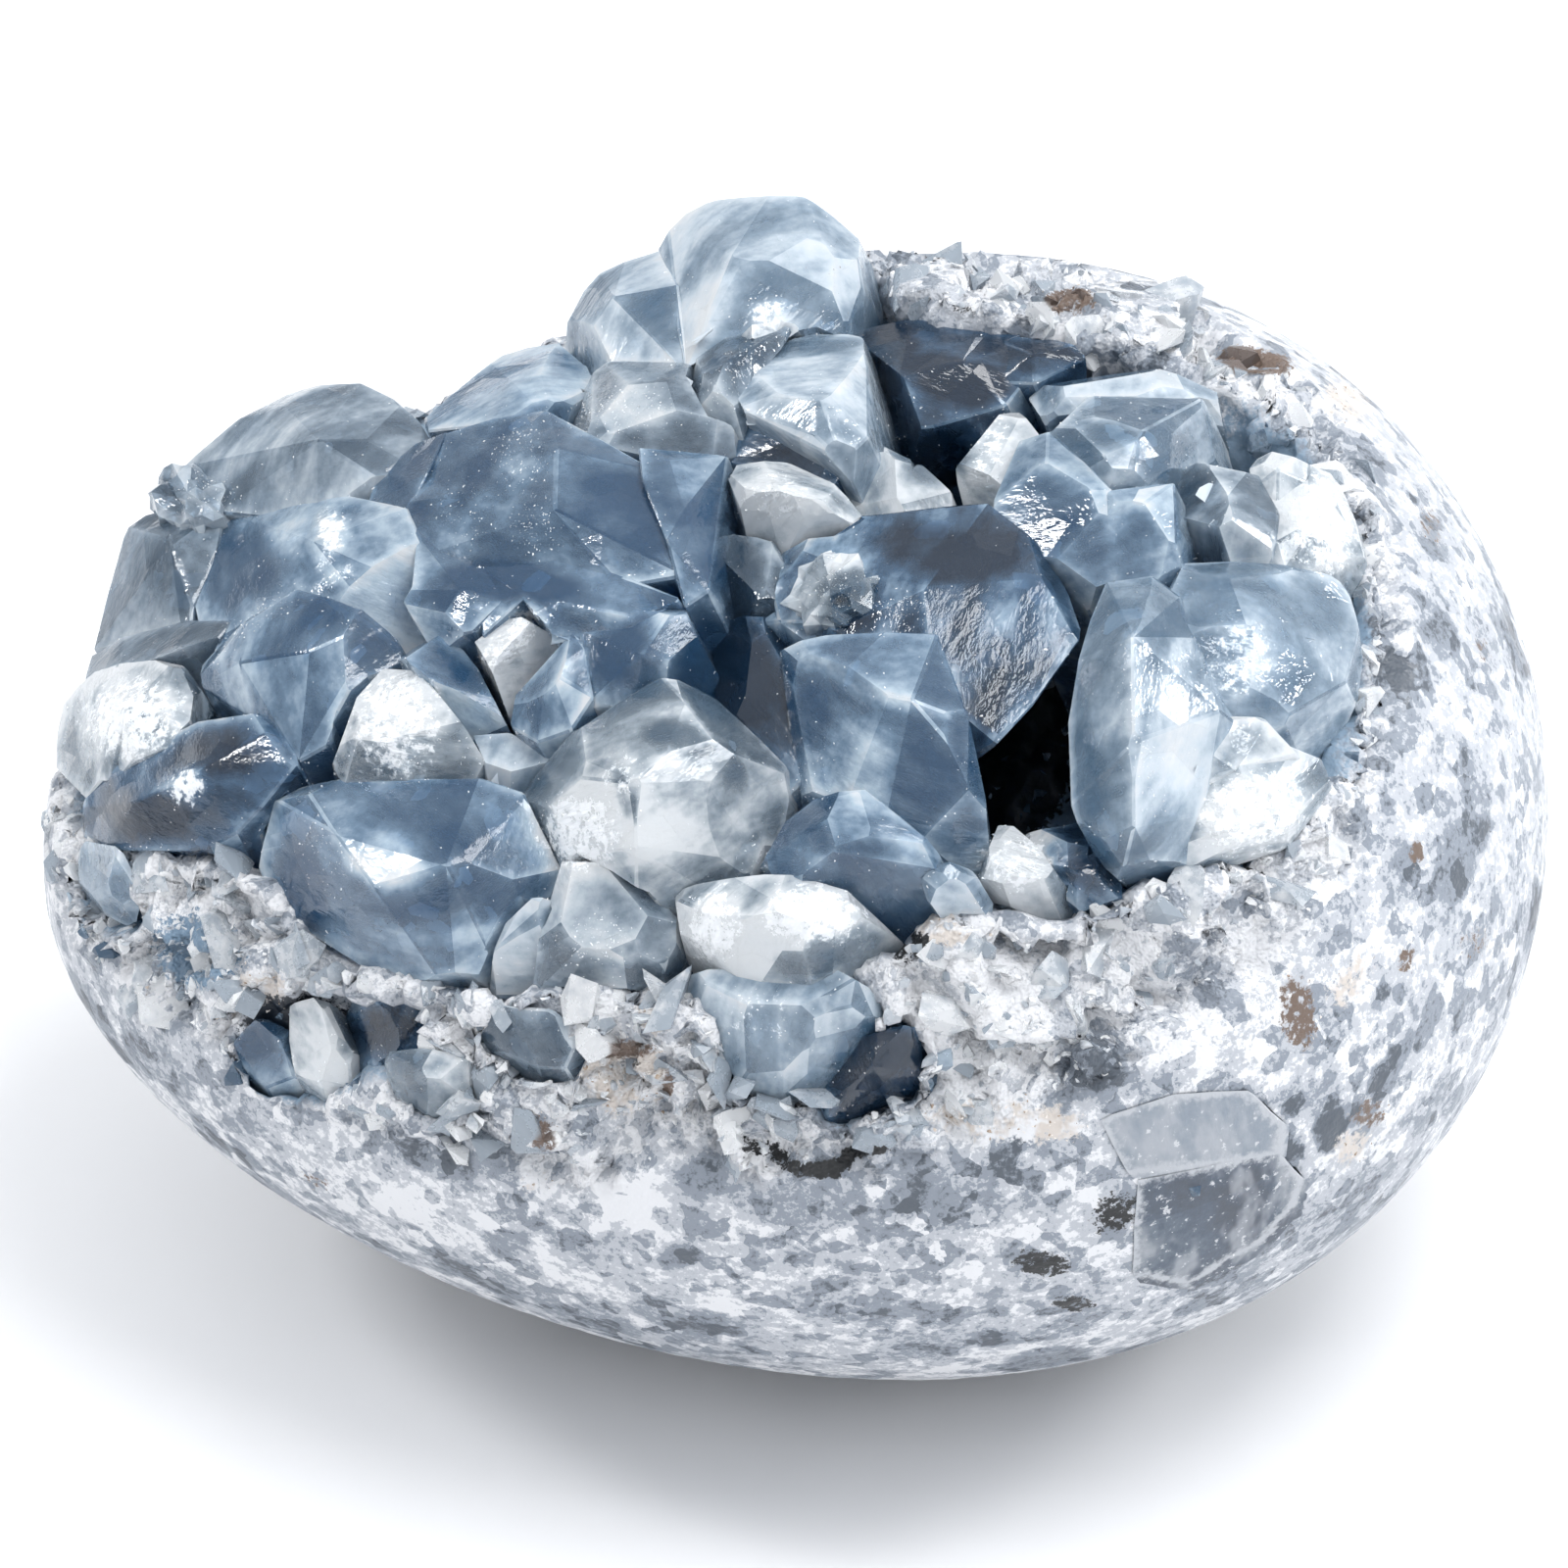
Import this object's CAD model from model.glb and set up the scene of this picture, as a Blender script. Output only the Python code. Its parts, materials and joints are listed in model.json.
"""Looks of the quartz geode with celestite: its rock, crystals, druse and sealed cracks, the light and the
camera.

Marks on the stone are placed as a person sees them who looks down on it by 35 degrees from -Y: millimetres
across to the right and up, from the middle of that view.
"""

import json
import math
import random
from collections import namedtuple
from functools import partial
from itertools import product

import bmesh
import bpy
import numpy as np
from bpy.props import FloatProperty, FloatVectorProperty, IntProperty, PointerProperty
from mathutils import Euler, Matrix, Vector
from mathutils.bvhtree import BVHTree

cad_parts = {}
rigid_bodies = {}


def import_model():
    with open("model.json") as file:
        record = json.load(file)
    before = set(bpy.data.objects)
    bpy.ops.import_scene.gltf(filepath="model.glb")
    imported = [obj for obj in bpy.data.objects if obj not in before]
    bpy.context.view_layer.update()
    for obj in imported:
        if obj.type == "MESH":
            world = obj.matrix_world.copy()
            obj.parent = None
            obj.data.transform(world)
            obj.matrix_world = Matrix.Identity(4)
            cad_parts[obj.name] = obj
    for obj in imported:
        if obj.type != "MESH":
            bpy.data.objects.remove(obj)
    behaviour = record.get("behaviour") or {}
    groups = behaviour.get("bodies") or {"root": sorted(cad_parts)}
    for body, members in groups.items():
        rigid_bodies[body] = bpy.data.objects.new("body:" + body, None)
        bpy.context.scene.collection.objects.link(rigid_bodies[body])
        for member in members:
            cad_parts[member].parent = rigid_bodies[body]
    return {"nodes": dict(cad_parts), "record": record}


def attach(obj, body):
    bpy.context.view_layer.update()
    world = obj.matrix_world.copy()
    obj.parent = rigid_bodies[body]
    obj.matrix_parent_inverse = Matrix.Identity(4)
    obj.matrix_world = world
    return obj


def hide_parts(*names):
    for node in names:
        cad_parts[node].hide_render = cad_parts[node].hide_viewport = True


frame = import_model()

bl_info = {
    "name": "Quartz geode with celestite",
    "version": (1, 0, 0),
    "blender": (4, 5, 0),
    "location": "3D View > Sidebar > Geode",
    "description": "Builds the rock, the crystals and the druse of a celestite geode, and a plain pale stage",
    "category": "Object",
}

MM = 0.001

# The stone's own frame in mm: the middle of the view, the egg's shape and tilt, and where its opening faces
STONE_MIDDLE = np.array((-0.8054, 0.0, 39.9909))
LOOK_DOWN = math.radians(35.0)
LOOK_AXES = np.array((
    (1.0, 0.0, 0.0),
    (0.0, math.sin(LOOK_DOWN), math.cos(LOOK_DOWN)),
    (0.0, -math.cos(LOOK_DOWN), math.sin(LOOK_DOWN)),
))
EGG_CENTRE = np.array((0.8, 0.0, 0.1))
EGG_HALF = np.array((61.5, 50.5, 42.0))
EGG_FATTENING = 0.20
EGG_TILT = math.radians(5.1)
OPENING_NORMAL = np.array((-0.26989, -0.32986, 0.90463))
# Crystals that the grinding cut across end at this share of the egg's own size
GROUND_LEVEL = 1.0015

# A mark on the stone: its middle, its half sizes, its turn in degrees and how strong it is
Mark = namedtuple("Mark", "across up half_across half_up turn strength", defaults=(0.0, 1.0))

ROCK_MARKS = {
    "deep": [
        (19.0, 6.0, 5.0, 9.0, -15, 1.4), (11.6, 29.0, 5.0, 4.0, 0, 1.2), (-39.0, -16.4, 6.0, 3.0, 0, 1.2),
        (7.2, -19.0, 4.0, 4.0, 0, 1.4),
    ],
    "sand": [
        (-12.6, -19.8, 4.0, 3.2), (-10.2, -14.6, 1.6, 2.0), (12.0, -7.8, 4.4, 2.0),
        (17.6, -23.2, 7.4, 1.7, -4), (44.6, -12.4, 2.0, 2.6, -35, 0.7), (45.0, -25.6, 2.0, 1.6, 30, 0.7),
        (45.6, 34.2, 2.4, 2.2, -40, 0.8), (-41.9, -13.6, 2.8, 2.2, 30), (-38.6, -10.6, 2.0, 1.2, 0, 0.7),
        (-20.0, -28.4, 1.6, 0.8, 0, 0.6),
    ],
    "brown": [
        (-12.8, -17.6, 3.2, 0.9), (-9.2, -20.4, 0.7, 1.5), (40.4, -14.6, 1.7, 3.6, 8, 0.85),
        (49.2, -10.6, 0.8, 1.6, -25, 0.8), (46.4, -23.0, 1.8, 1.6, 30, 0.7), (50.0, -2.2, 0.8, 1.1),
        (55.0, -9.6, 1.8, 2.0, -20, 0.5), (2.8, 44.6, 2.2, 2.0, 30, 1.2), (6.4, 40.8, 2.2, 1.6, 0, 1.1),
        (23.2, 42.2, 2.4, 1.4, 0, 1.1), (38.0, 37.4, 3.6, 1.3, -8, 1.2), (52.0, 24.0, 1.2, 2.0, 20, 0.6),
        (56.0, 14.0, 0.8, 2.4, 15, 0.5), (-37.6, -28.6, 1.5, 0.8, -30, 0.6),
        (-52.0, -14.0, 1.2, 0.8, -40, 0.6), (-19.2, -24.4, 1.4, 2.2, 30, 0.8),
    ],
    "black": [
        (9.2, -9.0, 2.6, 1.6, -20), (0.8, -21.5, 0.9, 0.8), (20.4, -34.6, 2.8, 1.3, -8, 0.9),
        (26.0, -30.6, 2.4, 2.0, 10, 0.75), (22.9, -38.0, 2.2, 0.9, -10, 0.8),
    ],
    "white": [
        (15.2, -16.0, 7.4, 6.8), (-30.0, -30.0, 3.0, 2.0), (-12.0, -30.0, 3.0, 2.6),
        (26.0, -12.0, 5.0, 4.0, 0, 0.8), (30.0, -18.0, 4.0, 3.0, 0, 0.8),
    ],
    "dark": [
        (-6.4, -27.6, 2.8, 2.0), (12.8, -28.0, 8.0, 3.6, -6, 0.55), (16.0, -29.0, 2.0, 3.0, 0, 0.7),
        (16.9, -41.0, 2.0, 0.9), (23.9, -18.8, 2.9, 2.7, 0, 0.95), (43.2, -24.4, 1.4, 1.8, -30, 0.7),
        (-6.0, -40.0, 4.0, 1.0, -8, 0.5),
    ],
    "grey": [
        (33.4, -12.0, 2.4, 2.2), (31.0, -11.4, 1.2, 1.8, 20), (41.4, -21.8, 2.8, 2.4),
        (39.6, -25.0, 1.5, 1.8), (44.4, 0.2, 1.7, 1.6), (49.0, -4.0, 2.0, 3.0, -20, 0.7),
        (47.0, 12.8, 2.6, 3.2, 10, 0.8), (60.0, -8.0, 1.4, 5.0, 12, 0.8), (52.0, 17.0, 1.6, 4.0, 15, 0.6),
        (55.0, 2.0, 1.4, 5.0, 8, 0.6), (-15.0, -24.0, 2.4, 2.0, 0, 0.8), (-24.0, -26.0, 2.0, 2.2, 0, 0.8),
        (-2.2, -20.4, 2.4, 1.8), (-24.0, -36.0, 5.0, 1.2, -28, 0.7), (4.0, -38.0, 5.0, 1.8, -6, 0.7),
        (34.0, -36.0, 5.0, 1.6, 30, 0.6), (52.0, -22.0, 1.2, 3.0, -30, 0.7),
    ],
    "blue": [
        (-47.0, -10.2, 4.4, 3.6, -20, 0.8),
    ],
}

# The dark crack in the lower front, as points across and up, and its half width
CRACK = [(-3.2, -24.8), (-0.4, -26.0), (1.2, -27.0), (4.0, -27.0), (5.6, -25.6), (8.0, -25.0)]
CRACK_HALF_WIDTH = 0.35

# Frost: crusts of tiny crystals. Glint: faces that throw back the light in points. Lines: fine striations.
# Deep and pale: darker and lighter places inside the crystals
CRYSTAL_MARKS = {
    "frost": [
        (-36.4, 23.6, 1.3, 2.0, 10), (-36.0, 19.8, 2.6, 0.7, 30, 0.6), (2.4, -7.0, 4.4, 2.6),
        (-5.4, -8.0, 2.2, 3.4, -15, 0.9), (-30.6, 8.0, 4.2, 5.0, 0, 0.8), (-16.0, -0.6, 3.6, 3.6, -30, 0.9),
        (-12.8, 4.0, 1.6, 2.4, 0, 0.6), (-52.6, 8.4, 5.0, 3.8, 0, 0.9), (-47.8, 3.0, 1.8, 1.6),
        (-20.6, 15.6, 1.4, 2.2, -20, 0.8), (-22.6, 13.6, 2.2, 1.2, 30, 0.8), (30.6, 12.0, 1.2, 3.0, -20, 0.4),
        (36.0, 13.0, 3.0, 3.4, 0, 0.7), (37.0, 1.0, 5.0, 3.4, 20, 0.9), (43.0, 24.0, 3.0, 5.0, 0, 0.9),
        (-0.4, 26.0, 3.4, 2.4, 0, 0.5), (-1.4, 41.2, 1.8, 1.2, 0, 0.9), (16.4, 30.0, 1.6, 3.0, -20, 0.7),
        (18.0, -3.0, 3.4, 2.6, 0, 0.7), (-34.0, -3.0, 1.0, 1.0, 0, 0.5), (-2.0, -15.0, 3.0, 2.4, 0, 0.5),
    ],
    "deep": [
        (-8.0, 6.6, 3.2, 1.4, -20, 1.3), (-12.4, 2.2, 0.8, 2.2, 20, 1.2), (-4.2, 4.6, 0.9, 2.0, 30),
        (-38.4, -4.8, 2.2, 4.2, 10), (-24.4, -3.2, 3.4, 4.0, 0, 0.9), (-12.8, 24.4, 5.0, 4.2, -10),
        (-24.0, 28.8, 0.9, 4.0, -30, 0.8), (-21.6, 19.2, 4.6, 1.7, -5), (-12.4, 13.2, 3.0, 2.6, 20),
        (-45.6, 20.8, 6.4, 3.4, 10, 0.7), (-36.0, 17.6, 3.0, 2.2, 0, 0.6), (-44.8, 5.8, 3.8, 2.0),
        (-50.4, 0.8, 3.4, 2.0, -10, 0.9), (12.4, 21.6, 5.4, 2.0, -10, 1.1), (5.2, 17.6, 2.6, 2.4, 0, 0.9),
        (-4.6, 12.0, 3.6, 5.0, 0, 1.2), (1.6, 8.8, 2.0, 3.4, 10, 0.8), (15.0, 8.0, 2.0, 3.8, -20, 0.7),
        (-4.0, 19.6, 2.4, 2.6, 0, 0.7), (4.8, -1.6, 3.2, 1.4, -10, 0.7), (23.6, 3.6, 1.2, 6.4, 5, 0.7),
        (13.6, 35.6, 4.6, 1.8, -10, 1.1), (8.6, 38.6, 2.0, 2.2), (11.8, 29.0, 2.8, 2.2, 0, 1.4),
        (-3.2, 38.0, 3.4, 1.4, 20, 0.9), (7.2, -19.0, 3.4, 3.4, 0, 2.2), (-32.4, -16.6, 3.4, 2.4),
        (-43.0, -16.8, 2.2, 2.4, 0, 0.8), (36.4, -30.4, 2.4, 3.4, -20, 1.1), (23.0, -2.6, 2.6, 2.2),
    ],
    "pale": [
        (-8.8, -1.4, 3.6, 3.0, 0, 0.8), (-15.4, 1.6, 3.0, 2.6, 0, 0.6), (-31.0, -2.6, 2.8, 2.4, 0, 0.8),
        (-38.0, -9.6, 3.0, 1.4, -30, 0.5), (-26.4, 25.0, 2.0, 3.4, 10, 0.6), (-18.0, 13.0, 2.4, 2.0, 0, 0.5),
        (-42.0, 31.0, 5.0, 1.2, 35, 0.5), (19.2, 15.6, 3.0, 2.8, 30, 0.6), (6.4, 3.4, 1.8, 3.4, -15, 0.6),
        (31.6, 6.0, 2.0, 5.0, 10, 0.5), (18.6, 33.6, 2.4, 1.6, -10, 0.5), (-6.0, 42.0, 3.0, 2.2, 30, 0.6),
        (32.8, -24.4, 3.0, 1.4, 0, 0.4),
    ],
    "glint": [
        (-21.0, 29.4, 2.4, 3.0, 10), (-19.8, 23.6, 2.0, 2.4, 20), (-25.6, 24.8, 2.6, 2.4, 0, 0.6),
        (-13.0, 33.2, 4.2, 2.2, 5), (-14.8, -9.2, 2.8, 2.3, 20), (9.2, 17.0, 2.4, 1.3),
        (-4.0, 36.0, 1.6, 3.0, -35, 0.8), (27.8, 7.6, 1.2, 8.0, 12, 0.8), (34.6, 14.0, 2.0, 2.6, -30, 0.8),
        (-42.0, 16.8, 4.0, 1.0, 38, 0.9), (-46.6, 26.8, 2.4, 2.0, 0, 0.7), (3.6, 18.6, 2.6, 2.4, 0, 0.8),
        (2.4, 4.0, 1.2, 3.0, -25, 0.6), (-2.0, -2.6, 1.4, 2.0, -20, 0.6), (-36.6, -2.0, 2.0, 4.0, 20, 0.6),
        (2.4, 33.6, 1.2, 2.6, 0, 0.6),
    ],
    "lines": [
        (26.0, 30.4, 3.0, 3.4, -35), (28.2, 22.6, 1.6, 2.2, 60), (3.6, 6.0, 2.4, 3.0, -30),
        (-37.0, 31.0, 6.0, 3.0, 40, 0.7), (-11.0, 5.0, 3.0, 2.0, 20, 0.8), (-23.0, 28.0, 2.4, 3.4, 60, 0.7),
    ],
}

# A crystal's tone: its deep, middle and pale colour, its least and most see-through share, and the colour
# and thickness of its body
Tone = namedtuple("Tone", "deep middle pale clear_low clear_high body density")

TONES = {
    "celestite_blue": Tone("#46729c", "#8aaac8", "#c6daea", 0.36, 0.68, "#8db8dc", 22.0),
    "celestite_pale": Tone("#6d93b4", "#abc3d8", "#dae7f2", 0.36, 0.68, "#b0d0e8", 14.0),
    "celestite_dark": Tone("#223f5c", "#5b7fa2", "#a4bfd6", 0.42, 0.70, "#6f9cc8", 34.0),
    "celestite_grey": Tone("#5a758e", "#9aaec0", "#cad6e0", 0.36, 0.68, "#a3bdd4", 18.0),
    "celestite_white": Tone("#7f9cb6", "#c2d2df", "#f0f5f9", 0.34, 0.74, "#cadff0", 9.0),
}
# Folds sharper than this stay crisp, and the others are smoothed away
CREASE = math.radians(9)
# How far the paleness of a crystal's edges reaches in
RIDGE_WIDTH = 0.55 * MM
# Streaks inside a crystal are drawn out this much along their direction
FIBRE_STRETCH = 0.25
CELESTITE_IOR = 1.62
QUARTZ_IOR = 1.55

# Sizes of what the eye makes out in each material: streaks of bubbles, grains, breaks, lines and clouds
BUBBLE_STREAKS = 3.4 * MM
CRYSTAL_GRAIN = 0.9 * MM
STRIATIONS = 1.0 * MM
FLAT_BREAKS = 4.0 * MM
STEPPED_LINES = 5.0 * MM
ROCK_SPECKLES = 0.7 * MM
ROCK_STREAKS = 3.2 * MM
ROCK_PORES = 1.0 * MM
SMALL_GRAINS = 1.7 * MM
DRUSE_CLOUDS = 2.0 * MM
CRACK_CLOUDS = 1.5 * MM
FLOOR_CLOUDS = 400 * MM

# The egg's level where the ground outside starts and where it is whole
GROUND_FROM, GROUND_TO = 0.970, 0.990
# Heights in mm over the plane through the egg's centre that faces as the opening does: where the broken band
# starts and is whole, where its lip starts to be knocked down and is most, and where the hollow gets dark
BAND_FROM, BAND_TO = 17.0, 19.5
LIP_FROM, LIP_TO = 24.0, 31.0
HOLLOW_FROM, HOLLOW_TO = 26.0, 19.0


def linear(hex_colour):
    """An sRGB hex colour as linear red, green and blue."""
    parts = [int(hex_colour[i:i + 2], 16) / 255 for i in (1, 3, 5)]
    return tuple(c / 12.92 if c <= 0.04045 else ((c + 0.055) / 1.055) ** 2.4 for c in parts)


def opaque(hex_colour):
    return (*linear(hex_colour), 1.0)


def size_setting(name, description, millimetres):
    """A length that a user can change."""
    return FloatProperty(name=name, description=description, default=millimetres * MM, unit="LENGTH")


def colour_setting(name, description, hex_colour):
    """A colour that a user can change."""
    return FloatVectorProperty(
        name=name, description=description, default=linear(hex_colour), size=3, subtype="COLOR")


def number_setting(name, description, count):
    """A number of pieces that a user can change."""
    return IntProperty(name=name, description=description, default=count, min=0)


class RockSettings(bpy.types.PropertyGroup):
    face_size: size_setting("Face size", "Size of the small faces of the rock's skin", 0.74)
    chip_depth: size_setting("Chip depth", "Depth of the broken facets around the mouth", 1.3)
    ground_pits: size_setting("Ground pits", "Depth of the small pits in the ground outside", 0.16)
    white: colour_setting("White", "Colour of the milky groundmass", "#dfe0e3")
    pale: colour_setting("Pale", "Colour of the pale groundmass", "#b4b8bf")
    grey: colour_setting("Grey", "Colour of the cut grains", "#858d98")
    dark: colour_setting("Dark", "Colour of the darkest grains", "#4d555f")
    sand: colour_setting("Sand", "Colour of the sandy spots", "#cbc3bc")
    brown: colour_setting("Brown", "Colour of the iron stain", "#6a5a50")


class CrystalSettings(bpy.types.PropertyGroup):
    face_size: size_setting("Face size", "Longest edge of the small faces of a crystal", 1.4)
    growth: size_setting("Growth", "How far a crystal grows into its neighbours", 0.38)
    worn: size_setting("Worn edges", "Width of the wear along a crystal's edges", 0.16)
    chips: number_setting("Chips", "Number of corners broken off each crystal", 56)
    veils: number_setting("Veils", "Number of cracks sealed in the crystals", 420)
    glints: number_setting("Glints", "Number of tiny bright steps on the crystals", 20000)


class DruseSettings(bpy.types.PropertyGroup):
    rim_blocks: number_setting("Rim blocks", "Number of larger crystal pieces in the broken band", 320)
    rim_grains: number_setting("Rim grains", "Number of small crystal pieces in the broken band", 2200)
    hollow_grains: number_setting("Hollow grains", "Number of small crystals on the hollows' walls", 900)
    crumbs: number_setting("Crumbs", "Number of sandy crumbs in the brown places", 1500)


class StageSettings(bpy.types.PropertyGroup):
    camera_distance: size_setting("Camera distance", "From the camera to the stone", 1100)
    view_width: size_setting("View width", "Width of the view at the stone", 128)
    floor_colour: colour_setting("Floor colour", "Colour of the plain floor", "#f6f6f7")


SETTINGS = {
    "geode_rock": RockSettings,
    "geode_crystals": CrystalSettings,
    "geode_druse": DruseSettings,
    "geode_stage": StageSettings,
}


def seen(points):
    """Places on the stone as millimetres across, up and towards the eye."""
    return (points / MM - STONE_MIDDLE) @ LOOK_AXES.T


def egg_level(points):
    """1 on the egg's surface and less inside it."""
    local = points / MM - STONE_MIDDLE - EGG_CENTRE
    cos, sin = math.cos(EGG_TILT), math.sin(EGG_TILT)
    along = (local[:, 0] * cos + local[:, 2] * sin) / EGG_HALF[0]
    rise = local[:, 2] * cos - local[:, 0] * sin
    width = 1 + EGG_FATTENING * np.clip(along, -1, 1)
    level = along ** 2 + (local[:, 1] / (EGG_HALF[1] * width)) ** 2 + (rise / (EGG_HALF[2] * width)) ** 2
    return np.sqrt(level)


def opening_height(points):
    """Height in millimetres over the plane through the egg's centre that faces as the opening does."""
    return (points / MM - STONE_MIDDLE - EGG_CENTRE) @ OPENING_NORMAL


def smooth_step(low, high, values):
    t = np.clip((values - low) / (high - low), 0, 1)
    return t * t * (3 - 2 * t)


def hashed(cells, salt):
    """Three repeatable random numbers between 0 and 1 for each cell of a grid."""
    keys = cells.astype(np.int64)
    key = keys[:, 0] * 374761393 + keys[:, 1] * 668265263 + keys[:, 2] * 1274126177 + salt * 362437
    columns = []
    for k in range(3):
        h = (key + k * 97711) & 0xFFFFFFFF
        h = ((h ^ (h >> 15)) * 2246822519) & 0xFFFFFFFF
        h = ((h ^ (h >> 13)) * 3266489917) & 0xFFFFFFFF
        columns.append((h ^ (h >> 16)) / 4294967295)
    return np.stack(columns, 1)


def shaken_cells(points, size, salt):
    """For each place the way from the nearest point of a shaken lattice, the distances to the two nearest
    points, and three random numbers of the nearest."""
    scaled = points / size
    base = np.floor(scaled)
    count = len(points)
    nearest = np.full(count, 9.0)
    second = np.full(count, 9.0)
    way = np.zeros((count, 3))
    luck = np.zeros((count, 3))
    for step in product((-1, 0, 1), repeat=3):
        cell = base + step
        rolled = hashed(cell, salt)
        here = scaled - cell - rolled
        distance = np.linalg.norm(here, axis=1)
        closer = distance < nearest
        second = np.where(closer, nearest, np.minimum(second, distance))
        nearest = np.where(closer, distance, nearest)
        way[closer] = here[closer]
        luck[closer] = rolled[closer]
    return way * size, nearest * size, second * size, luck


def facets(points, size, salt):
    """Height of a surface that is broken into flat facets of about this size, for a slope of one."""
    way, _, _, luck = shaken_cells(points, size, salt)
    turned = hashed(np.floor(luck * 1000), salt + 7)
    return (way * (turned * 2 - 1)).sum(1)


def soft_noise(points, size, salt, octaves=3):
    """Smooth noise around 0, about -1 to 1."""
    total = np.zeros(len(points))
    weight = 1.0
    for octave in range(octaves):
        scaled = points / (size / 2 ** octave)
        base = np.floor(scaled)
        t = scaled - base
        t = t * t * (3 - 2 * t)
        value = np.zeros(len(points))
        for corner in product((0, 1), repeat=3):
            share = np.prod(np.where(corner, t, 1 - t), axis=1)
            value += share * hashed(base + corner, salt + octave)[:, 0]
        total += weight * (value * 2 - 1)
        weight /= 2
    return total


def mark_strength(rows, places):
    """How strongly the marks cover each place, given as across and up."""
    strength = np.zeros(len(places))
    for mark in (Mark(*row) for row in rows):
        turn = math.radians(mark.turn)
        dx = places[:, 0] - mark.across
        dy = places[:, 1] - mark.up
        along = (dx * math.cos(turn) + dy * math.sin(turn)) / mark.half_across
        aside = (dy * math.cos(turn) - dx * math.sin(turn)) / mark.half_up
        reach = np.sqrt(along ** 2 + aside ** 2)
        strength = np.maximum(strength, mark.strength * (1 - smooth_step(0.45, 1.35, reach)))
    return strength


def distance_to_lines(points, lines):
    """How far each point is from the nearest of the lines, each given by its two ends."""
    nearest = np.full(len(points), np.inf)
    for start, end in lines:
        a = np.array(start)
        ab = np.array(end) - a
        t = np.clip(((points - a) @ ab) / (ab @ ab), 0, 1)
        nearest = np.minimum(nearest, np.linalg.norm(points - a - t[:, None] * ab, axis=1))
    return nearest


def coordinates(mesh):
    values = np.zeros(len(mesh.vertices) * 3)
    mesh.vertices.foreach_get("co", values)
    return values.reshape(-1, 3)


def normals(mesh):
    values = np.zeros(len(mesh.vertices) * 3, np.float32)
    mesh.vertex_normals.foreach_get("vector", values)
    return values.reshape(-1, 3).astype(float)


def move_vertices(mesh, points):
    mesh.vertices.foreach_set("co", points.ravel())
    mesh.update()


def paint(mesh, name, values):
    """Writes one number per corner of the mesh for the materials to read."""
    layer = mesh.attributes.new(name, "FLOAT", "POINT")
    layer.data.foreach_set("value", np.asarray(values, np.float32))


def paint_fibre(mesh, points, luck):
    """Each crystal's own coordinates, drawn out along a direction of its own, for the streaks inside it."""
    turn = Euler([luck.uniform(0, math.tau) for _ in range(3)]).to_matrix()
    own = (points - points.mean(0)) @ np.array(turn) * (1.0, FIBRE_STRETCH, 0.55) + luck.uniform(-0.2, 0.2)
    layer = mesh.attributes.new("fibre", "FLOAT_VECTOR", "POINT")
    layer.data.foreach_set("vector", own.astype(np.float32).ravel())


def show(mesh, name):
    """An object for a mesh, in the scene and smooth."""
    mesh.name = name
    mesh.shade_smooth()
    obj = bpy.data.objects.new(name, mesh)
    bpy.context.scene.collection.objects.link(obj)
    return obj


def finished(obj):
    """The object's mesh with its modifiers worked in."""
    bpy.context.view_layer.update()
    evaluated = obj.evaluated_get(bpy.context.evaluated_depsgraph_get())
    mesh = bpy.data.meshes.new_from_object(evaluated)
    bpy.data.objects.remove(obj)
    return mesh


def even_skin(node, face_size, worn):
    """A CAD node's shape covered with small even faces, with its edges a little worn."""
    obj = show(frame["nodes"][node].data.copy(), "skin_" + node)
    weld = obj.modifiers.new("weld", "WELD")
    weld.merge_threshold = 0.001 * MM
    remesh = obj.modifiers.new("faces", "REMESH")
    remesh.mode = "VOXEL"
    remesh.voxel_size = face_size
    smooth = obj.modifiers.new("worn", "SMOOTH")
    smooth.factor = 0.5
    smooth.iterations = worn
    mesh = finished(obj)
    mesh.materials.clear()
    for layer in list(mesh.uv_layers):
        mesh.uv_layers.remove(layer)
    return mesh


def add_node(tree, kind, inputs=(), out=0, **settings):
    """Adds a node with its settings, links or sets its inputs, and gives one of its outputs."""
    made = tree.nodes.new("ShaderNode" + kind)
    for name, value in settings.items():
        setattr(made, name, value)
    for key, value in dict(inputs).items():
        if isinstance(value, bpy.types.NodeSocket):
            tree.links.new(value, made.inputs[key])
        else:
            made.inputs[key].default_value = value
    return made.outputs[out] if made.outputs else made


def new_material(name):
    """An empty material, and add_node for its tree."""
    material = bpy.data.materials.new(name)
    material.use_nodes = True
    material.node_tree.nodes.clear()
    return material, partial(add_node, material.node_tree)


def set_stops(ramp, stops):
    """Gives a colour ramp its positions and colours, from low to high."""
    ramp.elements[0].position, ramp.elements[1].position = stops[0][0], stops[-1][0]
    for position, _ in stops[1:-1]:
        ramp.elements.new(position)
    for element, (_, shade) in zip(ramp.elements, stops):
        element.color = shade


def shaken_by(add, base, grain, spread):
    """The base made uneven: grain, which lies around a half, shifts it by up to half the spread each way."""
    shift = add("Math", {0: grain, 1: spread, 2: -spread / 2}, operation="MULTIPLY_ADD")
    return add("Math", {0: base, 1: shift}, operation="ADD")


def covered(add, shade, mask, low, high, look, most=1.0):
    """The shade under another look, which starts where the mask is over low and is full over high."""
    much = add("MapRange", {0: mask, 1: low, 2: high, 4: most}, interpolation_type="SMOOTHSTEP")
    return add("Mix", {0: much, 6: shade, 7: look}, out=2, data_type="RGBA")


def ragged(add, mask, grain, spread, low, high, sure):
    """A painted mask whose border between low and high breaks up into grains, and none of it where the mask
    itself is under sure."""
    uneven = shaken_by(add, mask, grain, spread)
    inside = add("MapRange", {0: uneven, 1: low, 2: high}, interpolation_type="SMOOTHSTEP")
    kept = add("MapRange", {0: mask, 1: sure[0], 2: sure[1]}, interpolation_type="SMOOTHSTEP")
    return add("Math", {0: inside, 1: kept}, operation="MULTIPLY")


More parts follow.
